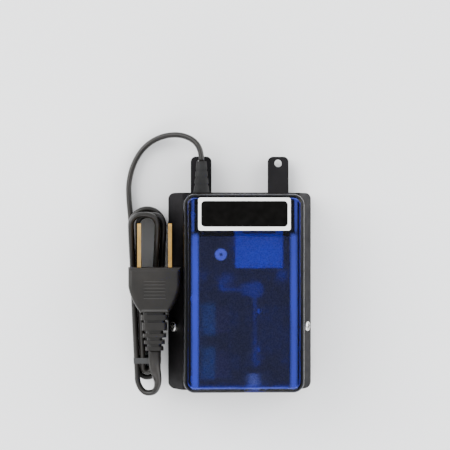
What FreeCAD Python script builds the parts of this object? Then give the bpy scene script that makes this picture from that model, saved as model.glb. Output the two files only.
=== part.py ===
import FreeCAD, Part
import math
import os

# A small aquarium air pump that lies on four rubber feet. Millimetres, +Z up.
# X runs across the pump, +Y points to the hanging ears and the cord, -Y to the air outlet.
# Everything is laid out from the middle of the case. On saving it moves by SHIFT_Y, which puts
# the origin at the middle of the bottom of the pump with its ears, where it stands.

V = FreeCAD.Vector
UP = V(0, 0, 1)
ACROSS = V(1, 0, 0)

# ---- Case
BASE_W = 60.6
BASE_L = 82.5
CASE_W = 49.0
COVER_L = 80.6
HEIGHT = 40.0
FOOT_H = 3.0
PLATE_TOP = 5.0
SHOULDER_ANGLE = 60.0
PART_Z = 19.0
WALL = 1.8
CASE_CORNER = 4.5
BASE_CORNER = 2.5
COVER_EDGE = 3.0
ROOF_IN = HEIGHT - WALL

# ---- Hanging ears
EAR_W = 8.75
EAR_REACH = 15.5
EAR_X = 16.4
EAR_HOLE_R = 1.6
EAR_HOLE_Y = BASE_L / 2 + 12.7
SHIFT_Y = -EAR_REACH / 2

# ---- Shoulder screws, feet and air intake
SCREW_Z = 10.0
SCREW_Y = -15.0
SLOPE = math.radians(SHOULDER_ANGLE)
SCREW_IN = (math.sin(SLOPE), 0.0, -math.cos(SLOPE))
FOOT_X = 24.0
FOOT_Y = 35.0
INTAKE = (6.0, 22.0)
INTAKE_R = 8.0

# ---- Label and textured panel on the roof
LABEL = (37.4, 13.3)
LABEL_Y = 32.1
LABEL_T = 0.35
PANEL = (36.8, 61.5)
PANEL_Y = -7.6
PANEL_DEEP = 0.25

# ---- Outlet bay and nipple
OUT_X = 5.2
OUT_Z = 15.0
BAY_HALF = 4.85
BAY_WALL = 1.4
BAY_BACK = -32.5
BAY_FLOOR = 9.0
BAY_ROOF = 25.0
NIPPLE_R = 2.3
NIPPLE_BORE_R = 1.3
NIPPLE_ROOT_R = 2.7
NIPPLE_TIP = -40.0
ELBOW_Y = -27.5
ELBOW_R = 3.1

# ---- Drive: swing arm, magnets and U-shaped core, all centred on one level
MECH_Z = 26.0
ARM_X = 4.8
PIVOT_Y = 1.3
ARM_T = 1.2
ARM_HALF_H = 4.4
ARM_END = -30.5
EYE_R = 3.6
BUSH_R = 2.5
PIN_R = 1.0
PIN_GAP = 0.03
MAGNET_Y = (-10.9, -28.0)
MAGNET = (2.2, 5.0, 8.0)
HOLDER_T = 1.0
COIL_Y = (-10.9, -28.5)
LIMB_W = 6.0
CORE_H = 8.0
CORE_BACK = -22.2
YOKE_T = 3.8
POLE_X = -1.6
COIL_X = (-18.2, -5.0)
COIL_HALF_Y = 7.1
COIL_HALF_Z = 7.6
CORE_SCREW_Y = (-2.6, -35.2)

# ---- Pump chamber
CHAMBER_Y = -15.0
CHAMBER_HALF_Y = 9.5
CHAMBER_HALF_Z = 10.0
DIAPHRAGM_X = 7.4
DIAPHRAGM_R = 8.5
CHAMBER_X = 9.0
VALVE_X = 12.0
MANIFOLD_X = 14.0
MANIFOLD_END = 21.3
INLET_Y = -11.2
OUTLET_Y = -19.4
FLAP_T = 0.6
FLAP_TOP = MECH_Z + 3.0
PORT_X = 17.2
PORT_Y = -21.8

ARM_FACE = ARM_X + ARM_T / 2
DISC_X = ARM_FACE + 1.2
CLAMP_X = DISC_X + 1.2

# ---- Inner chassis and silencer
CHASSIS_Z = (8.0, 10.0)
BUSH_POSTS = ((-17.4, 6.5), (17.4, 6.5), (-18.0, -24.0), (18.0, -28.0))
TOWER = (-9.5, 15.8)
CHASSIS_HEAD_H = 0.8
SILENCER_X = (-3.0, 15.5)
SILENCER_Y = (10.6, 34.0)
SILENCER_Z = (12.2, 34.0)

# ---- Mains lead, hank and plug
CORD_W = 2.5
CORD_H = 5.0
CORD_Z = 9.6
CORD_X = -16.4
RELIEF_TIP = 54.5
RELIEF_FLANGE = 2.0
RELIEF_GROOVES = 3
RELIEF_GROOVE_W = 0.9
RELIEF_PITCH = 3.0
CLAMP_Y = 31.5
CLAMP_SCREW_DX = 4.4
LEAD_R = 0.65
HANK_X = -39.2
HANK_TOP_Y = 27.5
HANK_LOW_Y = -32.0
HANK_TOP_R = 8.2
HANK_LOW_R = 5.6
HANK_H = 15.3
TIE_Y = -29.0
TIE_W = 2.4
TIE_T = 0.6
PLUG_X = -36.2
PLUG_Z = 22.2
PLUG_FACE = 10.3
PLUG_NECK = -8.3
PLUG_HALF_W = 10.8
PLUG_NECK_HALF = 5.8
# Strain relief of the plug from its neck down: length, half width and half height of each step.
PLUG_RELIEF_STEPS = (
    (0.9, 4.6, 4.4),
    (2.2, 5.6, 5.0),
    (1.0, 4.4, 4.2),
    (3.2, 5.2, 4.8),
    (1.4, 3.6, 3.9),
    (1.5, 4.8, 4.5),
    (1.3, 3.2, 3.7),
    (1.4, 4.3, 4.2),
    (1.2, 2.9, 3.5),
    (1.6, 3.7, 3.9),
)
PLUG_RELIEF_CORNER = 1.6
PLUG_HALF_T = 6.6
RELIEF_END = -24.0
BLADE_GAP = 12.7
BLADE = (1.5, 18.0, 6.3)

# The mains lead from its strain relief to the hank: down onto the floor in one left-hand bend.
LEAD_ROUTE = [
    (CORD_X, RELIEF_TIP, CORD_Z),
    (CORD_X, 59.0, CORD_Z),
    (-19.6, 63.8, 8.0),
    (-25.8, 66.2, 5.6),
    (-33.4, 65.4, 3.6),
    (-40.2, 61.4, 2.6),
    (-44.9, 54.4, 2.6),
    (-47.2, 46.0, 2.6),
    (-47.0, 38.0, 2.6),
    (-46.2, 30.6, 2.6),
]
# The tail from the plug's strain relief over the tie, round the foot of the hank and into it.
TAIL_ROUTE = [
    (PLUG_X, RELIEF_END, PLUG_Z),
    (PLUG_X, -28.0, PLUG_Z),
    (-36.0, -32.6, 20.4),
    (-34.6, -37.8, 17.4),
    (-36.0, -42.2, 15.4),
    (-40.6, -42.6, 13.8),
    (-43.3, -38.4, 12.9),
    (-43.4, -33.8, 12.75),
]


# ---------------------------------------------------------------- helpers
def block(xs, ys, zs):
    """Box between two X, two Y and two Z values."""
    return Part.makeBox(xs[1] - xs[0], ys[1] - ys[0], zs[1] - zs[0], V(xs[0], ys[0], zs[0]))


def rod(start, end, radius):
    """Round bar between two points."""
    a = V(*start)
    run = V(*end) - a
    return Part.makeCylinder(radius, run.Length, a, run)


def post(x, y, z0, z1, radius):
    """Upright round bar."""
    return rod((x, y, z0), (x, y, z1), radius)


def join(first, *rest):
    """One solid from solids that meet or overlap."""
    return first.multiFuse(list(rest)).removeSplitter()


def upright_edges(shape):
    """Edges that run along Z."""
    return [e for e in shape.Edges if abs(e.tangentAt(e.FirstParameter).z) > 0.999]


def rounded(width, length, corner, z0, z1, x=0.0, y=0.0):
    """Upright block with rounded corners, centred on x, y."""
    half_w = width / 2
    half_l = length / 2
    raw = block((x - half_w, x + half_w), (y - half_l, y + half_l), (z0, z1))
    return raw.makeFillet(corner, upright_edges(raw))


def outline_at(shape, z):
    """Outer wire of the level face at height z."""
    return [f for f in shape.Faces if abs(f.CenterOfMass.z - z) < 0.01][0].OuterWire


def edges_at(shape, z):
    """Edges that lie wholly at one height."""
    low = z - 0.01
    high = z + 0.01
    return [e for e in shape.Edges if low < e.BoundBox.ZMin and e.BoundBox.ZMax < high]


def extrude_outline(points, direction):
    """Prism from a closed outline of straight sides."""
    corners = [V(*p) for p in points]
    return Part.Face(Part.makePolygon(corners + corners[:1])).extrude(V(*direction))


def mirrored(shape):
    """The same shape on the other side of the pump."""
    return shape.mirror(V(0, 0, 0), ACROSS)


def pan_head(x, y, z, radius, height):
    """Pan screw head below z that faces down, with a cross recess in its face."""
    head = rod((x, y, z), (x, y, z - height), radius)
    head = head.makeFillet(height * 0.45, edges_at(head, z - height))
    slot = radius * 0.6
    deep = height * 0.55
    cross_a = block((x - slot, x + slot), (y - 0.28, y + 0.28), (z - height, z - height + deep))
    cross_b = block((x - 0.28, x + 0.28), (y - slot, y + slot), (z - height, z - height + deep))
    return head.cut(cross_a).cut(cross_b)


def screw(x, y, z, head_r, head_h, shank_r, length):
    """Screw driven up from below: its head sits under z and its shank rises from z."""
    return join(pan_head(x, y, z, head_r, head_h), post(x, y, z - 0.05, z + length, shank_r))


def screw_down(x, y, z, head_r, head_h, shank_r, length):
    """Screw driven down from above: its head sits on z."""
    made = screw(0, 0, 0, head_r, head_h, shank_r, length)
    made.rotate(V(0, 0, 0), ACROSS, 180)
    made.translate(V(x, y, z))
    return made


def point_screw(made, x, y, z, towards, spin=0.0):
    """Turn a screw that rises along +Z so that it runs from x, y, z towards a direction."""
    turn = FreeCAD.Rotation(UP, V(*towards)).multiply(FreeCAD.Rotation(UP, spin))
    made.Placement = FreeCAD.Placement(V(x, y, z), turn)
    return made


def rounded_path(points):
    """Straight runs joined by the largest arcs they allow. Returns the wire and the arc radii."""
    at = [V(*p) for p in points]
    edges = []
    radii = []
    start = at[0]
    for before, corner, after in zip(at, at[1:], at[2:]):
        back = before - corner
        ahead = after - corner
        half_turn = (math.pi - back.getAngle(ahead)) / 2
        reach = 0.45 * min(back.Length, ahead.Length)
        radii.append(reach / math.tan(half_turn))
        back.normalize()
        ahead.normalize()
        enter = corner + back * reach
        leave = corner + ahead * reach
        inward = back + ahead
        inward.normalize()
        middle = corner + inward * (radii[-1] / math.cos(half_turn) - radii[-1])
        edges.append(Part.LineSegment(start, enter).toShape())
        edges.append(Part.Arc(enter, middle, leave).toShape())
        start = leave
    edges.append(Part.LineSegment(start, at[-1]).toShape())
    return Part.Wire(edges), radii


def cord_section(centre, heading, width, height):
    """Outline of the flat twin cord on edge, square to its heading."""
    ahead = V(*heading)
    side = ahead.cross(UP)
    side.normalize()
    rise = side.cross(ahead)
    rise.normalize()
    c = V(*centre)
    r = width / 2
    h = height / 2 - r
    right = side * r
    top = rise * h
    crown = rise * (h + r)
    return Part.Wire(
        [
            Part.LineSegment(c + right - top, c + right + top).toShape(),
            Part.Arc(c + right + top, c + crown, c - right + top).toShape(),
            Part.LineSegment(c - right + top, c - right - top).toShape(),
            Part.Arc(c - right - top, c - crown, c + right - top).toShape(),
        ]
    )


def flat_cord(points, name):
    """The flat cord swept along a route. Prints its radii and compares its volume."""
    path, radii = rounded_path(points)
    heading = V(*points[1]) - V(*points[0])
    heading.normalize()
    sweep = Part.BRepOffsetAPI.MakePipeShell(path)
    sweep.setBiNormalMode(UP)
    sweep.add(cord_section(points[0], heading, CORD_W, CORD_H))
    sweep.build()
    sweep.makeSolid()
    solid = sweep.shape()
    area = CORD_W * (CORD_H - CORD_W) + math.pi * CORD_W**2 / 4
    print(name, "radii", [round(r, 1) for r in radii])
    print(name, "volume over section times length", round(solid.Volume / area / path.Length, 3))
    print(name, "length", round(path.Length, 1))
    return solid


def save(name, shape):
    """Check one node and write it."""
    placed = shape.copy()
    placed.translate(V(0, SHIFT_Y, 0))
    good = placed.isValid() and all(s.isClosed() for s in placed.Shells)
    if not good:
        print("NOT VALID", name)
    placed.exportStep("parts/" + name + ".step")


# ---------------------------------------------------------------- case
def shoulder_run():
    """How far the shoulder reaches out from the upright wall."""
    return (BASE_W - CASE_W) / 2


def shoulder_top():
    """Height at which the shoulder meets the upright wall."""
    return PLATE_TOP + shoulder_run() * math.tan(math.radians(SHOULDER_ANGLE))


def skirt_body(inset, corner_low, corner_high, z_top):
    """Sloped shoulders with the upright collar above, drawn in by the wall thickness."""
    slope = math.radians(SHOULDER_ANGLE)
    foot = BASE_W / 2 - inset / math.sin(slope)
    neck = CASE_W / 2 - inset
    bend_z = PLATE_TOP + (foot - neck) * math.tan(slope)
    half_l = BASE_L / 2 - inset
    outline = [
        (-foot, -half_l, PLATE_TOP),
        (foot, -half_l, PLATE_TOP),
        (neck, -half_l, bend_z),
        (-neck, -half_l, bend_z),
    ]
    shoulders = extrude_outline(outline, (0, 2 * half_l, 0))
    shoulders = shoulders.common(rounded(2 * foot, 2 * half_l, corner_low, PLATE_TOP, bend_z))
    collar = rounded(2 * neck, 2 * half_l, corner_high, PLATE_TOP, z_top)
    return join(shoulders, collar)


def bay_space(z_top):
    """The open pocket round the outlet nipple."""
    return block((OUT_X - BAY_HALF, OUT_X + BAY_HALF), (BAY_BACK, -BASE_L), (BAY_FLOOR, z_top))


def bay_pocket():
    """Walls of the outlet pocket: floor, back and two sides that rise to the roof."""
    outer_x = (OUT_X - BAY_HALF - BAY_WALL, OUT_X + BAY_HALF + BAY_WALL)
    back = BAY_BACK + BAY_WALL
    low = block(outer_x, (1.0 - BASE_L / 2, back), (BAY_FLOOR - BAY_WALL, PART_Z))
    high = block(outer_x, (WALL + 0.2 - COVER_L / 2, back), (PART_Z, ROOF_IN - 1.6))
    walls = join(low, high)
    inner = (OUT_X - BAY_HALF, OUT_X + BAY_HALF)
    return walls.cut(block(inner, (-BASE_L, BAY_BACK), (BAY_FLOOR, HEIGHT)))


def shoulder_screw_seat(z):
    """Point on the left shoulder's outer face at one height."""
    run = (z - PLATE_TOP) / math.tan(math.radians(SHOULDER_ANGLE))
    return -BASE_W / 2 + run


def along_screw(distance):
    """Point on the left shoulder screw's axis, measured inwards from the shoulder's face."""
    x = shoulder_screw_seat(SCREW_Z) + SCREW_IN[0] * distance
    return (x, SCREW_Y, SCREW_Z + SCREW_IN[2] * distance)


def make_base_skirt():
    """Black lower case: shoulders, collar and the outlet pocket. Open below and above."""
    outer = skirt_body(0.0, BASE_CORNER, CASE_CORNER, PART_Z)
    inner = skirt_body(WALL, BASE_CORNER - 1.0, CASE_CORNER - WALL, PART_Z + 1)
    inner = join(inner, inner.translated(V(0, 0, -1)))
    shell = outer.cut(inner)
    shell = join(shell, bay_pocket())
    mouth = block(
        (OUT_X - BAY_HALF, OUT_X + BAY_HALF), (-BASE_L, BAY_BACK), (BAY_FLOOR, PART_Z + 1)
    )
    shell = shell.cut(mouth)
    tube = rod((OUT_X, BAY_BACK - 1, OUT_Z), (OUT_X, BAY_BACK + 3, OUT_Z), NIPPLE_ROOT_R + 0.02)
    shell = shell.cut(tube)
    gland = rounded(5.4, 7.6, 1.2, 0, 6)
    gland.Placement = FreeCAD.Placement(V(CORD_X, BASE_L / 2 - 4, CORD_Z), FreeCAD.Rotation(ACROSS, -90))
    shell = shell.cut(gland)
    hole = rod(along_screw(-1), along_screw(4), 1.3)
    return shell.cut(hole).cut(mirrored(hole))


def make_bottom_plate():
    """Black base plate with the hanging ears, screw tower, bush posts, lugs and intake grille."""
    plate = rounded(BASE_W, BASE_L, BASE_CORNER, FOOT_H, PLATE_TOP)
    pieces = []
    for side in (-1, 1):
        x = side * EAR_X
        ear = rounded(EAR_W, 2 * EAR_REACH, 2.2, FOOT_H, PLATE_TOP, x, BASE_L / 2)
        pieces.append(ear.cut(post(x, EAR_HOLE_Y, 0, 10, EAR_HOLE_R)))
    tower = post(TOWER[0], TOWER[1], PLATE_TOP - 1, 20, 3.2)
    pieces.append(tower)
    for x, y in BUSH_POSTS:
        pieces.append(post(x, y, PLATE_TOP - 1, CHASSIS_Z[0] - 1.4, 3.6))
    for x in (CORD_X - CLAMP_SCREW_DX, CORD_X + CLAMP_SCREW_DX):
        pieces.append(post(x, CLAMP_Y, PLATE_TOP - 1, CORD_Z - 2.6, 2.2))
    lug_box = block((-30, -22.4), (SCREW_Y - 4, SCREW_Y + 4), (PLATE_TOP - 1, 12))
    inside = skirt_body(WALL + 0.15, 1.0, 1.0, PART_Z)
    deep = skirt_body(WALL + 3.2, 1.0, 1.0, PART_Z)
    lug = lug_box.common(inside).cut(deep.common(lug_box))
    lug = join(lug, block((-27, -22.4), (SCREW_Y - 4, SCREW_Y + 4), (PLATE_TOP - 1, PLATE_TOP + 0.8)))
    lug = lug.cut(rod(along_screw(0), along_screw(8), 0.97))
    pieces.append(lug)
    pieces.append(mirrored(lug))
    body = join(plate, *pieces)
    body = body.cut(post(TOWER[0], TOWER[1], 0, 30, 1.6))
    body = body.cut(post(TOWER[0], TOWER[1], 0, FOOT_H + 2.2, 2.6))
    for x in (CORD_X - CLAMP_SCREW_DX, CORD_X + CLAMP_SCREW_DX):
        body = body.cut(post(x, CLAMP_Y, FOOT_H + 1, 20, 0.8))
    for x, y in BUSH_POSTS:
        body = body.cut(post(x, y, FOOT_H + 0.8, 20, 0.85))
    for x, y in foot_places():
        body = body.cut(post(x, y, 0, 10, 1.6))
    return body.cut(intake_recess()).cut(intake_slots(PLATE_TOP + 1))


def intake_recess():
    """Round recess for the felt and its cap in the underside of the plate."""
    return post(INTAKE[0], INTAKE[1], 0, PLATE_TOP - 0.6, INTAKE_R)


def intake_slots(z_top):
    """Row of slots that let air up through the plate or the cap."""
    cuts = []
    for step in range(-2, 3):
        x = INTAKE[0] + 2.4 * step
        half = math.sqrt((INTAKE_R - 1.6) ** 2 - (2.4 * step) ** 2)
        cuts.append(block((x - 0.5, x + 0.5), (INTAKE[1] - half, INTAKE[1] + half), (2, z_top)))
    return Part.makeCompound(cuts)


def foot_places():
    """Where the four feet stand."""
    return [(sx * FOOT_X, sy * FOOT_Y) for sy in (-1, 1) for sx in (-1, 1)]


def make_foot(x, y):
    """Rubber foot: a chamfered pad with a stem and a head that grips above the plate."""
    pad = post(x, y, 0, FOOT_H, 4.2)
    pad = pad.makeFillet(0.7, edges_at(pad, 0))
    dimple = post(x, y, -0.1, 0.5, 1.5)
    stem = post(x, y, FOOT_H - 0.1, PLATE_TOP + 0.1, 1.6)
    head = Part.makeCone(2.3, 1.2, 1.6, V(x, y, PLATE_TOP), UP)
    return join(pad.cut(dimple), stem, head)


def make_top_cover():
    """Translucent upper case: a lidded shell with a lip, one screw boss and two locating pins."""
    outer = rounded(CASE_W, COVER_L, CASE_CORNER, PART_Z, HEIGHT)
    outer = outer.makeFillet(COVER_EDGE, edges_at(outer, HEIGHT))
    inner_w = CASE_W - 2 * WALL
    inner_l = COVER_L - 2 * WALL
    inner = rounded(inner_w, inner_l, CASE_CORNER - WALL, PART_Z - 1, ROOF_IN)
    inner = inner.makeFillet(1.4, edges_at(inner, ROOF_IN))
    shell = outer.cut(inner)
    lip_w = inner_w - 0.3
    lip_l = BASE_L - 2 * WALL - 0.3
    lip = rounded(lip_w, lip_l, 2.5, PART_Z - 3, PART_Z)
    step = rounded(inner_w + 1, inner_l + 1, 2.5, PART_Z, PART_Z + 1.2)
    ring = join(lip, step).cut(rounded(lip_w - 2.2, lip_l - 4.0, 1.8, 0, HEIGHT))
    shell = join(shell, ring)
    margin = 0.25
    bay_x = (OUT_X - BAY_HALF - BAY_WALL - margin, OUT_X + BAY_HALF + BAY_WALL + margin)
    shell = shell.cut(block(bay_x, (-BASE_L, BAY_BACK), (0, PART_Z)))
    shell = shell.cut(block(bay_x, (WALL - COVER_L / 2, BAY_BACK), (0, PART_Z + 2)))
    beside_core = block((-inner_w / 2, -18), (-inner_l / 2, 0), (0, PART_Z + 2))
    shell = shell.cut(beside_core)
    mouth = block(
        (OUT_X - BAY_HALF, OUT_X + BAY_HALF), (-BASE_L, WALL + 0.1 - COVER_L / 2), (0, BAY_ROOF)
    )
    crown = [e for e in mouth.Edges if e.BoundBox.ZMin > BAY_ROOF - 0.1 and e.Length > 2 * BAY_HALF]
    mouth = mouth.makeFillet(2.0, crown)
    shell = shell.cut(mouth)
    panel = rounded(PANEL[0], PANEL[1], 1.2, HEIGHT - PANEL_DEEP, HEIGHT + 1, 0, PANEL_Y)
    shell = shell.cut(panel)
    boss = post(TOWER[0], TOWER[1], 20.2, ROOF_IN + 0.5, 2.5)
    pins = [post(x, y, 30.0, ROOF_IN + 0.5, 1.25) for x, y in ((-10.2, 8.6), (11.6, 7.4))]
    shell = join(shell, boss, *pins)
    return shell.cut(post(TOWER[0], TOWER[1], 19, 33, 0.95))


def make_label():
    """Thin label with rounded corners on the roof near the cord end."""
    return rounded(LABEL[0], LABEL[1], 1.0, HEIGHT, HEIGHT + LABEL_T, 0, LABEL_Y)


def make_shoulder_screws():
    """One plated pan screw through each shoulder into the base plate's lug."""
    left = screw(0, 0, 0, 2.1, 1.7, 0.95, 5.2)
    left = point_screw(left, *along_screw(-0.02), SCREW_IN, 30)
    return Part.makeCompound([left, mirrored(left)])


def make_intake_cap():
    """Slotted round cap that holds the felt in the underside."""
    x, y = INTAKE
    cap = post(x, y, FOOT_H - 0.2, FOOT_H + 0.5, INTAKE_R - 0.15)
    return cap.cut(intake_slots(PLATE_TOP))


# ---------------------------------------------------------------- chassis
def make_chassis():
    """Inner frame on rubber bushes. Its posts carry the core, bracket, chamber and silencer."""
    plate = rounded(40.0, 48.0, 3.0, CHASSIS_Z[0], CHASSIS_Z[1], 0, -6.4)
    top = CHASSIS_Z[1] - 1
    core_low = MECH_Z - CORE_H / 2
    posts = [post(CORE_BACK + 1.9, y, top, core_low, 1.75) for y in CORE_SCREW_Y]
    rail = block((CORE_BACK + 0.3, -16), (CORE_SCREW_Y[1] - 1.6, CORE_SCREW_Y[0] + 1.6), CHASSIS_Z)
    body = join(plate, rail, *posts)
    for y in CORE_SCREW_Y:
        body = body.cut(post(CORE_BACK + 1.9, y, top + 2, 40, 0.8))
    for x, y in BUSH_POSTS:
        body = body.cut(post(x, y, 0, 20, 2.4))
    return body.cut(post(TOWER[0], TOWER[1], 0, 20, 3.8))


def make_suspension_bushes():
    """Four rubber grommets between the base plate's posts and the chassis."""
    bushes = []
    low = CHASSIS_Z[0] - 1.4
    for x, y in BUSH_POSTS:
        flange = post(x, y, low, CHASSIS_Z[0], 3.6)
        neck = post(x, y, CHASSIS_Z[0] - 0.1, CHASSIS_Z[1], 2.4)
        head = post(x, y, CHASSIS_Z[1], CHASSIS_Z[1] + 1.0, 3.2)
        bushes.append(join(flange, neck, head).cut(post(x, y, 0, 20, 0.9)))
    return Part.makeCompound(bushes)


def make_chassis_screws():
    """Four screws with wide heads that hold the bushes on their posts."""
    top = CHASSIS_Z[1] + 1.0
    return Part.makeCompound([screw_down(x, y, top, 2.6, CHASSIS_HEAD_H, 0.85, 6.2) for x, y in BUSH_POSTS])


# ---------------------------------------------------------------- electromagnet
def make_core():
    """U-shaped stack of steel laminations with two limbs that face the arm."""
    low = MECH_Z - CORE_H / 2
    high = MECH_Z + CORE_H / 2
    yoke_y = (CORE_SCREW_Y[1] - 1.8, CORE_SCREW_Y[0] + 1.8)
    yoke = block((CORE_BACK, CORE_BACK + YOKE_T), yoke_y, (low, high))
    limbs = [block((CORE_BACK + 1, POLE_X), (y - LIMB_W / 2, y + LIMB_W / 2), (low, high)) for y in COIL_Y]
    core = join(yoke, *limbs)
    for y in CORE_SCREW_Y:
        core = core.cut(post(CORE_BACK + 1.9, y, 0, HEIGHT, 0.95))
    return core


def make_core_screws():
    """Two screws down through the ends of the yoke."""
    top = MECH_Z + CORE_H / 2
    return Part.makeCompound(
        [screw_down(CORE_BACK + 1.9, y, top, 1.7, 1.1, 0.8, 12.0) for y in CORE_SCREW_Y]
    )


def limb_sleeve(y, grow, xs):
    """Block round one limb of the core, larger than the limb by grow on each side."""
    half_y = LIMB_W / 2 + grow
    half_z = CORE_H / 2 + grow
    return block(xs, (y - half_y, y + half_y), (MECH_Z - half_z, MECH_Z + half_z))


def make_bobbin(y):
    """Nylon bobbin: a square tube with two flanges."""
    tube = limb_sleeve(y, 0.9, COIL_X)
    flanges = []
    for x in (COIL_X[0], COIL_X[1] - 1.0):
        ys = (y - COIL_HALF_Y, y + COIL_HALF_Y)
        zs = (MECH_Z - COIL_HALF_Z, MECH_Z + COIL_HALF_Z)
        flanges.append(block((x, x + 1.0), ys, zs))
    return join(tube, *flanges).cut(limb_sleeve(y, 0.1, (-30, 0)))


def coil_block(y, xs, shrink):
    """Rounded block of wire round one limb."""
    half_y = COIL_HALF_Y - shrink
    half_z = COIL_HALF_Z - shrink
    raw = block(xs, (y - half_y, y + half_y), (MECH_Z - half_z, MECH_Z + half_z))
    along = [e for e in raw.Edges if abs(e.tangentAt(e.FirstParameter).x) > 0.999]
    return raw.makeFillet(2.2, along)


def make_winding(y):
    """Copper winding between the flanges."""
    xs = (COIL_X[0] + 1.0, COIL_X[1] - 1.0)
    return coil_block(y, xs, 0.9).cut(limb_sleeve(y, 0.9, xs))


def make_tape(y):
    """Band of insulating tape round the outer part of the winding."""
    xs = (COIL_X[0] + 1.0, COIL_X[0] + 6.6)
    return coil_block(y, xs, 0.4).cut(coil_block(y, xs, 0.9))


# ---------------------------------------------------------------- swing arm
def make_pivot_bracket():
    """Steel bracket: an upright bent strip on the chassis with two lugs that hold the pin."""
    foot_z = CHASSIS_Z[1]
    low_lug = (MECH_Z - ARM_HALF_H - 1.6, MECH_Z - ARM_HALF_H - 0.4)
    high_lug = (MECH_Z + ARM_HALF_H + 0.4, MECH_Z + ARM_HALF_H + 1.6)
    web = block((-9.2, 0.0), (PIVOT_Y - 0.6, PIVOT_Y + 0.6), (foot_z, high_lug[1]))
    tab = block((-9.8, -8.6), (PIVOT_Y - 0.6, PIVOT_Y + 3.4), (foot_z, high_lug[1]))
    foot = block((-9.8, -3.0), (PIVOT_Y, PIVOT_Y + 5.6), (foot_z, foot_z + 1.2))
    lugs = []
    for zs in (low_lug, high_lug):
        bar = block((-0.5, ARM_X), (PIVOT_Y - 2.4, PIVOT_Y + 2.4), zs)
        lugs.append(join(bar, post(ARM_X, PIVOT_Y, zs[0], zs[1], 2.4)))
    bracket = join(web, tab, foot, *lugs)
    bracket = bracket.cut(post(ARM_X, PIVOT_Y, 0, HEIGHT, PIN_R))
    return bracket.cut(post(-6.2, PIVOT_Y + 3.6, 0, 20, 1.05))


def make_bracket_screw():
    """Screw through the bracket's foot."""
    return screw_down(-6.2, PIVOT_Y + 3.6, CHASSIS_Z[1] + 1.2, 1.9, 1.2, 1.0, 1.2)


def make_pivot_pin():
    """Steel pin with a flat head, fixed in the bracket's two lugs."""
    z0 = MECH_Z - ARM_HALF_H - 2.4
    z1 = MECH_Z + ARM_HALF_H + 1.6
    return join(post(ARM_X, PIVOT_Y, z0, z1, PIN_R), post(ARM_X, PIVOT_Y, z1, z1 + 0.8, 1.7))


def make_swing_arm():
    """Spring-steel strip on edge with a rolled eye round the bush."""
    zs = (MECH_Z - ARM_HALF_H, MECH_Z + ARM_HALF_H)
    strip = block((ARM_X - ARM_T / 2, ARM_X + ARM_T / 2), (ARM_END, PIVOT_Y - 3), zs)
    eye = post(ARM_X, PIVOT_Y, zs[0], zs[1], EYE_R)
    arm = join(strip, eye).cut(post(ARM_X, PIVOT_Y, 0, HEIGHT, BUSH_R))
    return arm.cut(rod((0, CHAMBER_Y, MECH_Z), (10, CHAMBER_Y, MECH_Z), 1.0))


def make_pivot_bush():
    """Rubber bush in the arm's eye, free to turn on the pin."""
    z0 = MECH_Z - ARM_HALF_H
    z1 = MECH_Z + ARM_HALF_H
    return post(ARM_X, PIVOT_Y, z0, z1, BUSH_R).cut(post(ARM_X, PIVOT_Y, 0, HEIGHT, PIN_R + PIN_GAP))


def magnet_block(y, grow):
    """One magnet, or its pocket when grown."""
    x1 = ARM_X - ARM_T / 2 - HOLDER_T
    ys = (y - MAGNET[1] / 2 - grow, y + MAGNET[1] / 2 + grow)
    zs = (MECH_Z - MAGNET[2] / 2 - grow, MECH_Z + MAGNET[2] / 2 + grow)
    return block((x1 - MAGNET[0], x1), ys, zs)


def make_magnet_holder():
    """Nylon strip on the arm with a rim round each magnet."""
    x1 = ARM_X - ARM_T / 2
    x0 = x1 - HOLDER_T
    zs = (MECH_Z - ARM_HALF_H, MECH_Z + ARM_HALF_H)
    strip = block((x0, x1), (ARM_END, MAGNET_Y[0] + 3.4), zs)
    rims = []
    for y in MAGNET_Y:
        ys = (y - MAGNET[1] / 2, y + MAGNET[1] / 2 + 0.6)
        rims.append(block((x0 - 1.2, x0), ys, zs).cut(magnet_block(y, 0.0)))
    hole = rod((0, CHAMBER_Y, MECH_Z), (10, CHAMBER_Y, MECH_Z), 1.6)
    return join(strip, *rims).cut(hole)


def make_magnets():
    """Two ferrite blocks, one in front of each pole."""
    return Part.makeCompound([magnet_block(y, 0.0) for y in MAGNET_Y])


# ---------------------------------------------------------------- diaphragm and chamber
def drum(x0, x1, radius):
    """Round disc on the diaphragm's axis."""
    return rod((x0, CHAMBER_Y, MECH_Z), (x1, CHAMBER_Y, MECH_Z), radius)


def make_diaphragm_button():
    """Outer clamp disc between the arm and the diaphragm."""
    return drum(ARM_FACE, DISC_X, 3.4).cut(drum(0, 20, 1.02))


def make_diaphragm():
    """Rubber diaphragm: rim, thin rolled ring and a thick middle."""
    rim = drum(DIAPHRAGM_X, CHAMBER_X, DIAPHRAGM_R).cut(drum(0, 20, 6.6))
    middle = drum(DISC_X, CLAMP_X, 4.0)
    roll = Part.makeCone(4.0, 6.8, 1.0, V(DISC_X + 0.1, CHAMBER_Y, MECH_Z), ACROSS)
    hollow = Part.makeCone(3.4, 6.2, 1.0, V(DISC_X + 0.8, CHAMBER_Y, MECH_Z), ACROSS)
    skin = join(roll, drum(DISC_X + 1.1, CLAMP_X, 6.8)).cut(hollow)
    return join(rim, skin, middle).cut(drum(0, 20, 1.02))


def make_clamp_disc():
    """Inner clamp disc on the chamber side."""
    return drum(CLAMP_X, CLAMP_X + 0.9, 3.2).cut(drum(0, 20, 1.02))


def make_diaphragm_screw():
    """Screw from the arm's far side through both discs."""
    made = screw(0, 0, 0, 1.5, 1.0, 0.98, CLAMP_X + 1.4 - ARM_X + ARM_T / 2)
    return point_screw(made, ARM_X - ARM_T / 2, CHAMBER_Y, MECH_Z, (1, 0, 0))


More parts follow.
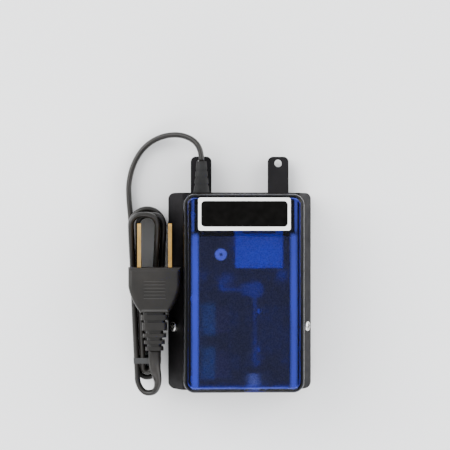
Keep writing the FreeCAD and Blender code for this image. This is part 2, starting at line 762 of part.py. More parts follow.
def make_clamp_ring():
    """Ring that presses the diaphragm's rim on the chamber."""
    ys = (CHAMBER_Y - CHAMBER_HALF_Y, CHAMBER_Y + CHAMBER_HALF_Y)
    zs = (MECH_Z - CHAMBER_HALF_Z, MECH_Z + CHAMBER_HALF_Z)
    plate = block((DIAPHRAGM_X - 1.0, DIAPHRAGM_X), ys, zs)
    plate = plate.cut(drum(0, 20, 6.9))
    return plate.cut(chamber_screw_holes(1.05))


def chamber_block(xs):
    """Slab of the pump head between two X values."""
    ys = (CHAMBER_Y - CHAMBER_HALF_Y, CHAMBER_Y + CHAMBER_HALF_Y)
    zs = (MECH_Z - CHAMBER_HALF_Z, MECH_Z + CHAMBER_HALF_Z)
    return block(xs, ys, zs)


def chamber_corners():
    """Y and Z of the four screws of the pump head."""
    dy = CHAMBER_HALF_Y - 1.7
    dz = CHAMBER_HALF_Z - 1.7
    return [(CHAMBER_Y + sy * dy, MECH_Z + sz * dz) for sy in (-1, 1) for sz in (-1, 1)]


def chamber_screw_holes(radius):
    """Four holes through the pump head."""
    return Part.makeCompound([rod((0, y, z), (30, y, z), radius) for y, z in chamber_corners()])


def make_pump_chamber():
    """Chamber body: seat for the diaphragm, the working space and two feet on the chassis."""
    body = chamber_block((DIAPHRAGM_X, VALVE_X))
    body = body.cut(drum(DIAPHRAGM_X - 1, CHAMBER_X, DIAPHRAGM_R + 0.05))
    body = body.cut(drum(DIAPHRAGM_X, VALVE_X + 1, 7.4))
    low = MECH_Z - CHAMBER_HALF_Z
    feet = []
    for y in (CHAMBER_Y - 6.0, CHAMBER_Y + 6.0):
        feet.append(block((DIAPHRAGM_X + 0.4, VALVE_X), (y - 1.8, y + 1.8), (CHASSIS_Z[1], low + 0.6)))
    return join(body, *feet).cut(chamber_screw_holes(1.05))


def make_valve_plate():
    """Plate with the inlet hole and the outlet hole."""
    plate = chamber_block((VALVE_X, MANIFOLD_X))
    for y in (INLET_Y, OUTLET_Y):
        plate = plate.cut(rod((0, y, MECH_Z), (30, y, MECH_Z), 1.4))
    return plate.cut(chamber_screw_holes(1.05))


def flap(y, xs):
    """Rubber tongue over one hole, with a rounded upper edge that it turns about."""
    middle = (xs[0] + xs[1]) / 2
    tongue = block(xs, (y - 2.5, y + 2.5), (FLAP_TOP - 6.0, FLAP_TOP))
    return join(tongue, rod((middle, y - 2.5, FLAP_TOP), (middle, y + 2.5, FLAP_TOP), FLAP_T / 2))


def flap_clip(y, xs):
    """Bar that pins the root of a flap to the valve plate."""
    return block(xs, (y - 1.6, y + 1.6), (FLAP_TOP + 0.4, FLAP_TOP + 2.0))


def make_manifold():
    """Two-room cover behind the valve plate: one room is open to the case, one feeds the port."""
    inner_ys = ((OUTLET_Y - 3.4, OUTLET_Y + 3.6), (INLET_Y - 3.0, INLET_Y + 3.4))
    ys = (PORT_Y - 2.7, CHAMBER_Y + CHAMBER_HALF_Y)
    body = block((MANIFOLD_X, MANIFOLD_END), ys, (MECH_Z - CHAMBER_HALF_Z, MECH_Z + CHAMBER_HALF_Z))
    for room in inner_ys:
        body = body.cut(block((MANIFOLD_X - 1, MANIFOLD_END - 1.4), room, (MECH_Z - 6, MECH_Z + 6)))
    body = body.cut(rod((PORT_X, INLET_Y, MECH_Z), (PORT_X, INLET_Y, MECH_Z + 20), 1.5))
    port_low = block((PORT_X - 3.2, PORT_X + 3.2), (PORT_Y - 2.7, OUTLET_Y), (OUT_Z - 3.4, MECH_Z - 9))
    body = join(body, port_low, rod((PORT_X, PORT_Y - 5.6, OUT_Z), (PORT_X, PORT_Y, OUT_Z), NIPPLE_R))
    body = body.cut(rod((PORT_X, PORT_Y - 6, OUT_Z), (PORT_X, OUTLET_Y, OUT_Z), NIPPLE_BORE_R))
    body = body.cut(rod((PORT_X, OUTLET_Y, OUT_Z - 1.3), (PORT_X, OUTLET_Y, MECH_Z - 4), NIPPLE_BORE_R))
    return body.cut(chamber_screw_holes(1.05))


def make_chamber_screws():
    """Four long screws through the pump head."""
    x = DIAPHRAGM_X - 1.0
    screws = []
    for y, z in chamber_corners():
        made = screw(0, 0, 0, 1.6, 0.9, 1.0, MANIFOLD_END - 0.8 - x)
        screws.append(point_screw(made, x, y, z, (1, 0, 0)))
    return Part.makeCompound(screws)


# ---------------------------------------------------------------- air outlet
def make_nipple():
    """Outlet nipple: the hose's seat, a thicker root in the wall, a collar and a side spigot."""
    front = rod((OUT_X, NIPPLE_TIP, OUT_Z), (OUT_X, BAY_BACK, OUT_Z), NIPPLE_R)
    root = rod((OUT_X, BAY_BACK, OUT_Z), (OUT_X, ELBOW_Y, OUT_Z), NIPPLE_ROOT_R)
    back = BAY_BACK + BAY_WALL
    collar = rod((OUT_X, back, OUT_Z), (OUT_X, back + 1.2, OUT_Z), 3.6)
    side = rod((OUT_X, ELBOW_Y, OUT_Z), (OUT_X + 7.0, ELBOW_Y, OUT_Z), NIPPLE_R)
    ball = Part.makeSphere(NIPPLE_ROOT_R, V(OUT_X, ELBOW_Y, OUT_Z))
    body = join(front, root, collar, side, ball)
    body = body.cut(rod((OUT_X, NIPPLE_TIP - 1, OUT_Z), (OUT_X, ELBOW_Y, OUT_Z), NIPPLE_BORE_R))
    return body.cut(rod((OUT_X, ELBOW_Y, OUT_Z), (OUT_X + 8, ELBOW_Y, OUT_Z), NIPPLE_BORE_R))


def elbow_solid(radius):
    """Right-angle bend from the nipple's spigot to the pump head's port."""
    bend = 3.6
    start = V(OUT_X + 3.8, ELBOW_Y, OUT_Z)
    turn = V(PORT_X - bend, ELBOW_Y, OUT_Z)
    lean = bend * math.sin(math.pi / 4)
    middle = V(PORT_X - bend + lean, ELBOW_Y + bend - lean, OUT_Z)
    finish = V(PORT_X, ELBOW_Y + bend, OUT_Z)
    top = V(PORT_X, PORT_Y - 2.75, OUT_Z)
    path = Part.Wire(
        [
            Part.LineSegment(start, turn).toShape(),
            Part.Arc(turn, middle, finish).toShape(),
            Part.LineSegment(finish, top).toShape(),
        ]
    )
    section = Part.Wire(Part.makeCircle(radius, start, ACROSS))
    return path.makePipeShell([section], True, True)


def make_elbow():
    """Moulded rubber elbow pushed over both spigots."""
    body = elbow_solid(ELBOW_R).cut(elbow_solid(NIPPLE_BORE_R))
    spigot = rod((OUT_X, ELBOW_Y, OUT_Z), (OUT_X + 7.0, ELBOW_Y, OUT_Z), NIPPLE_R)
    port = rod((PORT_X, PORT_Y - 5.6, OUT_Z), (PORT_X, PORT_Y, OUT_Z), NIPPLE_R)
    return body.cut(spigot).cut(port)


# ---------------------------------------------------------------- silencer and wiring
def make_silencer_box():
    """White box that the intake air passes through, open above, on four short legs."""
    body = block(SILENCER_X, SILENCER_Y, SILENCER_Z)
    inner_x = (SILENCER_X[0] + 1.4, SILENCER_X[1] - 1.4)
    inner_y = (SILENCER_Y[0] + 1.4, SILENCER_Y[1] - 1.4)
    body = body.cut(block(inner_x, inner_y, (SILENCER_Z[0] + 1.4, SILENCER_Z[1] + 1)))
    body = body.cut(post(INTAKE[0], INTAKE[1], 10, 15, 4.0))
    legs = []
    for x in (SILENCER_X[0] + 2, SILENCER_X[1] - 2):
        legs.append(post(x, SILENCER_Y[0] + 3, CHASSIS_Z[1], SILENCER_Z[0] + 0.5, 1.6))
        legs.append(post(x, SILENCER_Y[1] - 3, PLATE_TOP, SILENCER_Z[0] + 0.5, 1.6))
    return join(body, *legs)


def make_silencer_felt():
    """Felt block in the silencer box."""
    xs = (SILENCER_X[0] + 1.4, SILENCER_X[1] - 1.4)
    ys = (SILENCER_Y[0] + 1.4, SILENCER_Y[1] - 1.4)
    return block(xs, ys, (SILENCER_Z[0] + 5.0, SILENCER_Z[1] - 1.0))


def make_silencer_lid():
    """Lid of the silencer box with a row of air slots."""
    xs = (SILENCER_X[0] - 0.4, SILENCER_X[1] + 0.4)
    ys = (SILENCER_Y[0] - 0.4, SILENCER_Y[1] + 0.4)
    lid = block(xs, ys, (SILENCER_Z[1], SILENCER_Z[1] + 1.2))
    for step in range(3):
        y = SILENCER_Y[1] - 4.0 - 2.6 * step
        lid = lid.cut(block((xs[0] + 3, xs[1] - 3), (y - 0.6, y + 0.6), (30, 40)))
    return lid


def make_strain_relief():
    """Tapered rubber relief: a flange inside, a waist in the wall and a ribbed taper outside."""
    flange_end = RELIEF_FLANGE
    wall_end = flange_end + WALL
    tip_end = wall_end + RELIEF_TIP - BASE_L / 2
    flange = rounded(8.4, 8.8, 1.6, 0, flange_end)
    waist = rounded(5.4, 7.6, 1.2, flange_end, wall_end)
    thick = outline_at(rounded(6.6, 8.6, 2.0, wall_end, tip_end), wall_end)
    thin = outline_at(rounded(4.2, 6.3, 1.7, wall_end, tip_end), tip_end)
    body = join(flange, waist, Part.makeLoft([thick, thin], True))
    for step in range(RELIEF_GROOVES):
        z = wall_end + RELIEF_PITCH * (step + 1)
        core = rounded(5.3 - 0.5 * step, 7.9 - 0.5 * step, 1.6, z, z + RELIEF_GROOVE_W)
        ring = rounded(12, 12, 1.0, z, z + RELIEF_GROOVE_W).cut(core)
        body = body.cut(ring)
    body = body.cut(rounded(CORD_W, CORD_H, 1.2, -1, tip_end + 1))
    body.Placement = FreeCAD.Placement(
        V(CORD_X, BASE_L / 2 - wall_end, CORD_Z), FreeCAD.Rotation(ACROSS, -90)
    )
    return body


def make_cord_inside():
    """The lead's stretch through the relief to the clamp inside the case."""
    start = (CORD_X, 26.0, CORD_Z)
    profile = Part.Face(cord_section(start, (0, 1, 0), CORD_W, CORD_H))
    return profile.extrude(V(0, RELIEF_TIP - 26.0, 0))


def make_cord_clamp():
    """Bridge that holds the lead down on two posts."""
    zs = (CORD_Z - 2.6, CORD_Z + 4.0)
    body = block((CORD_X - 6.6, CORD_X + 6.6), (29.0, 34.0), zs)
    slot = block((CORD_X - CORD_W / 2 - 0.05, CORD_X + CORD_W / 2 + 0.05), (28, 35), (0, CORD_Z + 2.55))
    body = body.cut(slot)
    for x in (CORD_X - CLAMP_SCREW_DX, CORD_X + CLAMP_SCREW_DX):
        body = body.cut(post(x, CLAMP_Y, 0, 20, 1.0))
    return body


def make_clamp_screws():
    """Two screws of the cord clamp."""
    xs = (CORD_X - CLAMP_SCREW_DX, CORD_X + CLAMP_SCREW_DX)
    return Part.makeCompound([screw_down(x, CLAMP_Y, CORD_Z + 4.0, 1.9, 1.2, 0.75, 8.0) for x in xs])


def wire_tube(points):
    """Thin insulated wire along a route."""
    path, radii = rounded_path(points)
    heading = V(*points[1]) - V(*points[0])
    section = Part.Wire(Part.makeCircle(LEAD_R, V(*points[0]), heading))
    print("lead radii", [round(r, 1) for r in radii])
    return path.makePipeShell([section], True, True)


def make_front_lead():
    """Wire from the lead's upper core to the front coil."""
    y = COIL_Y[0] + COIL_HALF_Y
    return wire_tube(
        [
            (CORD_X, 25.4, CORD_Z + 1.25),
            (CORD_X, 21.0, CORD_Z + 3.5),
            (CORD_X, 14.0, 15.6),
            (CORD_X - 0.4, 7.0, 20.5),
            (CORD_X - 1.3, 1.0, 25.0),
            (COIL_X[0] + 0.5, y, 26.0),
        ]
    )


def make_rear_lead():
    """Wire from the lead's lower core under the coils to the rear coil."""
    low = MECH_Z - COIL_HALF_Z
    return wire_tube(
        [
            (CORD_X, 25.4, CORD_Z - 1.25),
            (CORD_X + 0.9, 20.5, CORD_Z + 0.9),
            (CORD_X + 1.9, 14.0, 13.8),
            (CORD_X + 2.4, 4.0, 14.9),
            (CORD_X + 1.0, -9.0, 14.6),
            (CORD_X - 1.0, -21.0, 15.2),
            (COIL_X[0] + 0.5, COIL_Y[1], low),
        ]
    )


def make_coil_link():
    """Short wire that joins the two coils."""
    x = COIL_X[0] + 0.5
    return wire_tube(
        [
            (x, COIL_Y[0] - COIL_HALF_Y, 31.0),
            (x + 0.3, (COIL_Y[0] + COIL_Y[1]) / 2 + 0.4, 31.5),
            (x, COIL_Y[1] + COIL_HALF_Y, 31.0),
        ]
    )


# ---------------------------------------------------------------- hank and plug
def hank_outline(shrink):
    """Closed outline of the hank seen from above, drawn in by shrink."""
    top_r = HANK_TOP_R - shrink
    low_r = HANK_LOW_R - shrink
    left_top = V(HANK_X - top_r, HANK_TOP_Y, 0)
    right_top = V(HANK_X + top_r, HANK_TOP_Y, 0)
    left_low = V(HANK_X - low_r, HANK_LOW_Y, 0)
    right_low = V(HANK_X + low_r, HANK_LOW_Y, 0)
    return Part.Wire(
        [
            Part.Arc(left_top, V(HANK_X, HANK_TOP_Y + top_r, 0), right_top).toShape(),
            Part.LineSegment(right_top, right_low).toShape(),
            Part.Arc(right_low, V(HANK_X, HANK_LOW_Y - low_r, 0), left_low).toShape(),
            Part.LineSegment(left_low, left_top).toShape(),
        ]
    )


def hank_body(shrink, z0, z1):
    """Upright solid of the hank's outline."""
    solid = Part.Face(hank_outline(shrink)).extrude(V(0, 0, z1 - z0))
    solid.translate(V(0, 0, z0))
    return solid


def tie_space():
    """Slice of space that the tie fills."""
    xs = (HANK_X - HANK_TOP_R - 2, HANK_X + HANK_TOP_R + 2)
    return block(xs, (TIE_Y - TIE_W / 2, TIE_Y + TIE_W / 2), (-1, HANK_H + 1))


def make_hank_tie():
    """Band round the waist of the hank, flush with its outside."""
    outer = hank_body(0.0, 0.0, HANK_H).common(tie_space())
    return outer.cut(hank_body(TIE_T, TIE_T, HANK_H - TIE_T))


def plug_outline(z):
    """Closed outline of the plug seen from above."""
    shoulder_y = 2.6
    face_l = V(PLUG_X - PLUG_HALF_W, PLUG_FACE, z)
    face_r = V(PLUG_X + PLUG_HALF_W, PLUG_FACE, z)
    side_l = V(PLUG_X - PLUG_HALF_W, shoulder_y, z)
    side_r = V(PLUG_X + PLUG_HALF_W, shoulder_y, z)
    neck_l = V(PLUG_X - PLUG_NECK_HALF, PLUG_NECK, z)
    neck_r = V(PLUG_X + PLUG_NECK_HALF, PLUG_NECK, z)
    bulge = 8.9
    return Part.Wire(
        [
            Part.LineSegment(side_l, face_l).toShape(),
            Part.LineSegment(face_l, face_r).toShape(),
            Part.LineSegment(face_r, side_r).toShape(),
            Part.Arc(side_r, V(PLUG_X + bulge, -3.4, z), neck_r).toShape(),
            Part.LineSegment(neck_r, neck_l).toShape(),
            Part.Arc(neck_l, V(PLUG_X - bulge, -3.4, z), side_l).toShape(),
        ]
    )


def make_plug_body():
    """Moulded body of a flat two-blade plug with a row of grip ridges on top and below."""
    low = PLUG_Z - PLUG_HALF_T
    body = Part.Face(plug_outline(low)).extrude(V(0, 0, 2 * PLUG_HALF_T))
    rims = edges_at(body, low) + edges_at(body, low + 2 * PLUG_HALF_T)
    body = body.makeFillet(1.8, rims)
    ridges = []
    for step in range(6):
        y = 4.8 - 1.4 * step
        for z in (low + 0.25, low + 2 * PLUG_HALF_T - 0.25):
            ridges.append(rod((PLUG_X - 4.5, y, z), (PLUG_X + 4.5, y, z), 0.45))
    body = join(body, *ridges)
    for blade in blade_blocks():
        body = body.cut(blade)
    return body


def blade_blocks():
    """The two flat blades with their roots inside the plug."""
    blades = []
    for side in (-1, 1):
        x = PLUG_X + side * BLADE_GAP / 2
        xs = (x - BLADE[0] / 2, x + BLADE[0] / 2)
        zs = (PLUG_Z - BLADE[2] / 2, PLUG_Z + BLADE[2] / 2)
        raw = block(xs, (PLUG_FACE - 6.0, PLUG_FACE + BLADE[1]), zs)
        tip = [e for e in raw.Edges if e.BoundBox.YMin > PLUG_FACE + 1 and e.BoundBox.XLength > 1]
        blade = raw.makeChamfer(1.2, tip)
        hole_y = PLUG_FACE + 13.6
        blades.append(blade.cut(rod((x - 2, hole_y, PLUG_Z), (x + 2, hole_y, PLUG_Z), 1.6)))
    return blades


def make_plug_relief():
    """Ribbed strain relief of the plug: a lip, a block and three rings that shrink to the cord."""
    pieces = []
    y = PLUG_NECK
    for length, half_w, half_h in PLUG_RELIEF_STEPS:
        step = rounded(2 * half_w, 2 * half_h, PLUG_RELIEF_CORNER, 0, length)
        step.Placement = FreeCAD.Placement(V(PLUG_X, y, PLUG_Z), FreeCAD.Rotation(ACROSS, 90))
        pieces.append(step)
        y -= length
    return join(*pieces)


# ---------------------------------------------------------------- write the nodes
def build():
    """Make every node and write it to its own file."""
    os.makedirs("parts", exist_ok=True)

    save("top_cover", make_top_cover())
    save("base_skirt", make_base_skirt())
    save("bottom_plate", make_bottom_plate())
    save("roof_label", make_label())
    for number, (x, y) in enumerate(foot_places(), 1):
        save("rubber_foot_" + str(number), make_foot(x, y))
    save("case_screw", screw(TOWER[0], TOWER[1], FOOT_H + 2.2, 2.4, 1.7, 0.95, 24.0))
    save("shoulder_screws", make_shoulder_screws())
    save("intake_felt", post(INTAKE[0], INTAKE[1], FOOT_H + 0.5, PLATE_TOP - 0.6, INTAKE_R - 0.2))
    save("intake_cap", make_intake_cap())

    save("inner_chassis", make_chassis())
    save("suspension_bushes", make_suspension_bushes())
    save("chassis_screws", make_chassis_screws())

    save("core_laminations", make_core())
    save("core_screws", make_core_screws())
    for name, y in zip(("front", "rear"), COIL_Y):
        save("coil_bobbin_" + name, make_bobbin(y))
        save("coil_winding_" + name, make_winding(y))
        save("coil_tape_" + name, make_tape(y))

    save("pivot_bracket", make_pivot_bracket())
    save("bracket_screw", make_bracket_screw())
    save("pivot_pin", make_pivot_pin())
    save("swing_arm", make_swing_arm())
    save("pivot_bush", make_pivot_bush())
    save("magnet_holder", make_magnet_holder())
    save("magnets", make_magnets())

    save("diaphragm_button", make_diaphragm_button())
    save("diaphragm", make_diaphragm())
    save("diaphragm_clamp_disc", make_clamp_disc())
    save("diaphragm_screw", make_diaphragm_screw())
    save("diaphragm_ring", make_clamp_ring())
    save("pump_chamber", make_pump_chamber())
    save("valve_plate", make_valve_plate())
    inlet_xs = (VALVE_X - 0.03 - FLAP_T, VALVE_X - 0.03)
    outlet_xs = (MANIFOLD_X + 0.03, MANIFOLD_X + 0.03 + FLAP_T)
    save("inlet_flap", flap(INLET_Y, inlet_xs))
    save("outlet_flap", flap(OUTLET_Y, outlet_xs))
    inlet_clip = flap_clip(INLET_Y, (VALVE_X - 0.9, VALVE_X))
    outlet_clip = flap_clip(OUTLET_Y, (MANIFOLD_X, MANIFOLD_X + 0.9))
    save("flap_clips", Part.makeCompound([inlet_clip, outlet_clip]))
    save("valve_manifold", make_manifold())
    save("chamber_screws", make_chamber_screws())

    save("outlet_nipple", make_nipple())
    save("outlet_elbow", make_elbow())
    save("silencer_box", make_silencer_box())
    save("silencer_felt", make_silencer_felt())
    save("silencer_lid", make_silencer_lid())

    save("cord_strain_relief", make_strain_relief())
    save("cord_inside", make_cord_inside())
    save("cord_clamp", make_cord_clamp())
    save("clamp_screws", make_clamp_screws())
    save("coil_leads", Part.makeCompound([make_front_lead(), make_rear_lead(), make_coil_link()]))

    hank = hank_body(0.0, 0.0, HANK_H).cut(make_hank_tie())
    save("cord_lead", flat_cord(LEAD_ROUTE, "cord_lead").cut(hank_body(0.0, -1.0, HANK_H)))
    save("cord_tail", flat_cord(TAIL_ROUTE, "cord_tail"))
    save("cord_hank", hank)
    save("hank_tie", make_hank_tie())
    save("plug_body", make_plug_body())
    save("plug_relief", make_plug_relief())
    save("plug_blades", Part.makeCompound(blade_blocks()))


build()
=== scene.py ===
import math

import bmesh
import bpy
from mathutils import Matrix, Vector


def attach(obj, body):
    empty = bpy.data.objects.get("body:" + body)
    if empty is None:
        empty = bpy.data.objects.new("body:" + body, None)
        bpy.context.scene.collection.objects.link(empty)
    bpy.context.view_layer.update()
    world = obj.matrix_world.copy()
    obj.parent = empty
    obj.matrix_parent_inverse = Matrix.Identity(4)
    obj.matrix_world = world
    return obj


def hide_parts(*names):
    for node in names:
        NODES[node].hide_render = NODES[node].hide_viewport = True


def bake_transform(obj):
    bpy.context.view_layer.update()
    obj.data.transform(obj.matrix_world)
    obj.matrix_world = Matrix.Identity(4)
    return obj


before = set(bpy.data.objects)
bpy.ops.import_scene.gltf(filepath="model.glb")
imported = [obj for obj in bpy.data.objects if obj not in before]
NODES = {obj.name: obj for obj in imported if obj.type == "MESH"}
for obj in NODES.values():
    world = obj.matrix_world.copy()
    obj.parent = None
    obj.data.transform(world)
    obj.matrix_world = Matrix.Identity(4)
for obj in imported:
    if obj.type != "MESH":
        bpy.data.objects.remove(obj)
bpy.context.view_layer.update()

MM = 0.001
# The middle of the case in the frame, in millimetres.
SHIFT_Y = -7.75


def at(x, y, z):
    """Place in the frame of a point given in millimetres from the middle of the case."""
    return Vector((x * MM, (y + SHIFT_Y) * MM, z * MM))


# ---------------------------------------------------------------- camera
CAMERA_AT = (-38.3, 27.7, 700.0)
CAMERA_TILT = math.radians(2.64)
LENS = 131.1

camera_data = bpy.data.cameras.new("camera")
camera_data.lens = LENS
camera_data.sensor_width = 36.0
camera_data.clip_start = 0.01
camera = bpy.data.objects.new("camera", camera_data)
camera.location = at(*CAMERA_AT)
camera.rotation_euler = (0.0, -CAMERA_TILT, 0.0)
bpy.context.scene.collection.objects.link(camera)
bpy.context.scene.camera = camera


# ---------------------------------------------------------------- node helpers
class Shader:
    """A material with its Principled shader, and short ways to add nodes."""

    def __init__(self, name, colour, rough, metal=0.0, **sockets):
        self.material = bpy.data.materials.new(name)
        self.material.use_nodes = True
        self.tree = self.material.node_tree
        self.main = self.tree.nodes["Principled BSDF"]
        self.set("Base Color", (*colour, 1.0))
        self.set("Roughness", rough)
        self.set("Metallic", metal)
        for socket, value in sockets.items():
            self.set(socket.replace("_", " "), value)
        self.where = self.tree.nodes.new("ShaderNodeTexCoord").outputs["Object"]

    def set(self, socket, value):
        self.main.inputs[socket].default_value = value

    def link(self, source, socket):
        self.tree.links.new(source, self.main.inputs[socket])

    def noise(self, scale, detail=3.0, stretch=(1, 1, 1)):
        """Noise over the object's own coordinates. scale is in repeats per metre."""
        mapping = self.tree.nodes.new("ShaderNodeMapping")
        mapping.inputs["Scale"].default_value = stretch
        self.tree.links.new(self.where, mapping.inputs["Vector"])
        node = self.tree.nodes.new("ShaderNodeTexNoise")
        node.inputs["Scale"].default_value = scale
        node.inputs["Detail"].default_value = detail
        self.tree.links.new(mapping.outputs["Vector"], node.inputs["Vector"])
        return node.outputs["Fac"]

    def cells(self, scale):
        """Distance to the nearest of many scattered points."""
        node = self.tree.nodes.new("ShaderNodeTexVoronoi")
        node.inputs["Scale"].default_value = scale
        self.tree.links.new(self.where, node.inputs["Vector"])
        return node.outputs["Distance"]

    def ramp(self, source, low, high, low_at=0.3, high_at=0.7):
        """Colour that runs from low to high as source rises."""
        node = self.tree.nodes.new("ShaderNodeValToRGB")
        first, last = node.color_ramp.elements
        first.position, first.color = low_at, (*low, 1.0)
        last.position, last.color = high_at, (*high, 1.0)
        self.tree.links.new(source, node.inputs["Fac"])
        return node.outputs["Color"]

    def spread(self, source, low, high):
        """Number that runs from low to high as source runs from 0.3 to 0.7."""
        node = self.tree.nodes.new("ShaderNodeMapRange")
        for socket, value in (("From Min", 0.3), ("From Max", 0.7), ("To Min", low), ("To Max", high)):
            node.inputs[socket].default_value = value
        self.tree.links.new(source, node.inputs["Value"])
        return node.outputs["Result"]

    def maths(self, kind, a, b=0.0):
        node = self.tree.nodes.new("ShaderNodeMath")
        node.operation = kind
        for socket, value in zip(node.inputs, (a, b)):
            if isinstance(value, (int, float)):
                socket.default_value = value
            else:
                self.tree.links.new(value, socket)
        return node.outputs["Value"]

    def axes(self):
        node = self.tree.nodes.new("ShaderNodeSeparateXYZ")
        self.tree.links.new(self.where, node.inputs["Vector"])
        return node.outputs["X"], node.outputs["Y"], node.outputs["Z"]

    def product(self, first, *others):
        for other in others:
            first = self.maths("MULTIPLY", first, other)
        return first

    def largest(self, first, *others):
        for other in others:
            first = self.maths("MAXIMUM", first, other)
        return first

    def away(self, value, middle):
        """Distance of value from middle."""
        return self.maths("ABSOLUTE", self.maths("SUBTRACT", value, middle))

    def within(self, value, span, shift=0.0):
        """1 inside a span, 0 outside it. The span is a middle, a half width and a blur, in millimetres."""
        middle, half, blur = span
        node = self.tree.nodes.new("ShaderNodeMapRange")
        node.inputs["From Min"].default_value = half * MM + blur * MM / 2
        node.inputs["From Max"].default_value = half * MM - blur * MM / 2
        self.tree.links.new(self.away(value, (middle + shift) * MM), node.inputs["Value"])
        return node.outputs["Result"]

    def patch(self, x, y, spans):
        """1 inside a rectangle and 0 outside it, from a span in X and a span in Y."""
        return self.product(self.within(x, spans[0]), self.within(y, spans[1], SHIFT_Y))

    def number(self, mask, low, high):
        """Low where the mask is 0 and high where it is 1."""
        return self.maths("ADD", self.product(mask, high - low), low)

    def tint(self, mask, low, high):
        """Colour low where the mask is 0 and high where it is 1."""
        node = self.tree.nodes.new("ShaderNodeMix")
        node.data_type = "RGBA"
        self.tree.links.new(mask, node.inputs["Factor"])
        for socket, value in ((node.inputs[6], low), (node.inputs[7], high)):
            if isinstance(value, tuple):
                socket.default_value = (*value, 1.0)
            else:
                self.tree.links.new(value, socket)
        return node.outputs[2]

    def rounded(self, x, y, centre_y, half_x, half_y, corner):
        """Distance outside a rounded rectangle that is centred on x = 0."""
        sides = []
        for value, middle, half in ((x, 0.0, half_x), (y, centre_y, half_y)):
            past = self.largest(self.maths("SUBTRACT", self.away(value, middle), half - corner), 0.0)
            sides.append(self.product(past, past))
        reach = self.maths("SQRT", self.maths("ADD", *sides))
        return self.maths("SUBTRACT", reach, corner)

    def bump(self, height, strength, distance):
        """Raises the surface by height times distance, in metres."""
        node = self.tree.nodes.new("ShaderNodeBump")
        node.inputs["Strength"].default_value = strength
        node.inputs["Distance"].default_value = distance
        self.tree.links.new(height, node.inputs["Height"])
        self.link(node.outputs["Normal"], "Normal")


def grained(
    name, dark, light, rough, metal=0.0, grain=2500, depth=0.00004, stretch=(1, 1, 1), **sockets
):
    """Moulded or rolled surface: slow colour variation, fine grain, and uneven gloss."""
    made = Shader(name, light, rough[0], metal, **sockets)
    made.link(made.ramp(made.noise(90, 5.0), dark, light), "Base Color")
    made.link(made.spread(made.noise(260, 4.0), *rough), "Roughness")
    made.bump(made.noise(grain, 3.0, stretch), 0.5, depth)
    return made.material


# ---------------------------------------------------------------- meshes
def finished(name, made, smooth=True):
    """Object from a bmesh."""
    mesh = bpy.data.meshes.new(name)
    made.to_mesh(mesh)
    made.free()
    for face in mesh.polygons:
        face.use_smooth = smooth
    obj = bpy.data.objects.new(name, mesh)
    bpy.context.scene.collection.objects.link(obj)
    return obj


def paint(obj, material):
    """Give an object, or a CAD node by name, one material."""
    target = NODES[obj] if isinstance(obj, str) else obj
    if target.data.materials:
        for i in range(len(target.data.materials)):
            target.data.materials[i] = material
    else:
        target.data.materials.append(material)


# ---------------------------------------------------------------- cord
CORD_W = 2.5
CORD_X = -16.4
CORD_Z = 9.6
RELIEF_TIP = 54.5
# The hank: its middle, the centres of its half circles, its layers, and how high its last crossing goes.
HANK_X = -39.2
HANK_TOP_Y = 27.5
HANK_LOW_Y = -32.0
LAYERS = (2.6, 7.65, 12.75)
HUMP_Z = 17.9
# Half widths of a turn, at the top and at the foot.
OUTER = (6.95, 4.35)
INNER = (4.3, 1.7)

LEAD_ROUTE = [
    (CORD_X, RELIEF_TIP, CORD_Z),
    (CORD_X, 59.0, CORD_Z),
    (-19.6, 63.8, 8.0),
    (-25.8, 66.2, 5.6),
    (-33.4, 65.4, 3.6),
    (-40.2, 61.4, 2.6),
    (-44.9, 54.4, 2.6),
    (-47.2, 46.0, 2.6),
    (-47.0, 38.0, 2.6),
    (-46.2, 30.6, 2.6),
]
TAIL_ROUTE = [
    (-43.4, -33.8, 12.75),
    (-43.3, -38.4, 12.9),
    (-40.6, -42.6, 13.8),
    (-36.0, -42.2, 15.4),
    (-34.6, -37.8, 17.4),
    (-36.0, -32.6, 20.4),
    (-36.2, -28.0, 22.2),
    (-36.2, -24.0, 22.2),
]
# The turns from the floor up: the layer and the half widths of each.
SLOTS = [(0, OUTER), (0, INNER), (1, INNER), (1, OUTER), (2, INNER), (2, OUTER)]
ARC_STEPS = 6
STEP_HALF = math.tan(math.pi / ARC_STEPS / 2)
# A straight run, 0 at its top: where it has control points, and over which part it drops from a crossing.
RUN_PARTS = (0.12, 0.3, 0.5, 0.7, 0.88)
RUN_DROP = (0.0, 0.28)
# Each crossing over the top: when it climbs and when it shifts sideways, in parts of the half circle.
# A climb that starts below 0 is made on the straight run before the circle.
CLIMBS = [(0.0, 1.0), (0.3, 0.65), (0.0, 1.0), (-1.0, 0.0), (0.0, 1.0)]
SHIFTS = [(0.65, 0.95), (0.0, 1.0), (0.0, 0.25), (0.05, 0.5), (0.5, 0.95)]


def mix(a, b, part):
    return a + (b - a) * part


def eased(value, span):
    """0 before the span, 1 after it, smooth between."""
    part = min(1.0, max(0.0, (value - span[0]) / (span[1] - span[0])))
    return part * part * (3 - 2 * part)


def run_parts(top_r, low_r):
    """Where a straight run has its points, 0 at the top: a few along it, and one near each half circle."""
    span = HANK_TOP_Y - HANK_LOW_Y
    return (top_r * STEP_HALF / span, *RUN_PARTS, 1 - low_r * STEP_HALF / span)


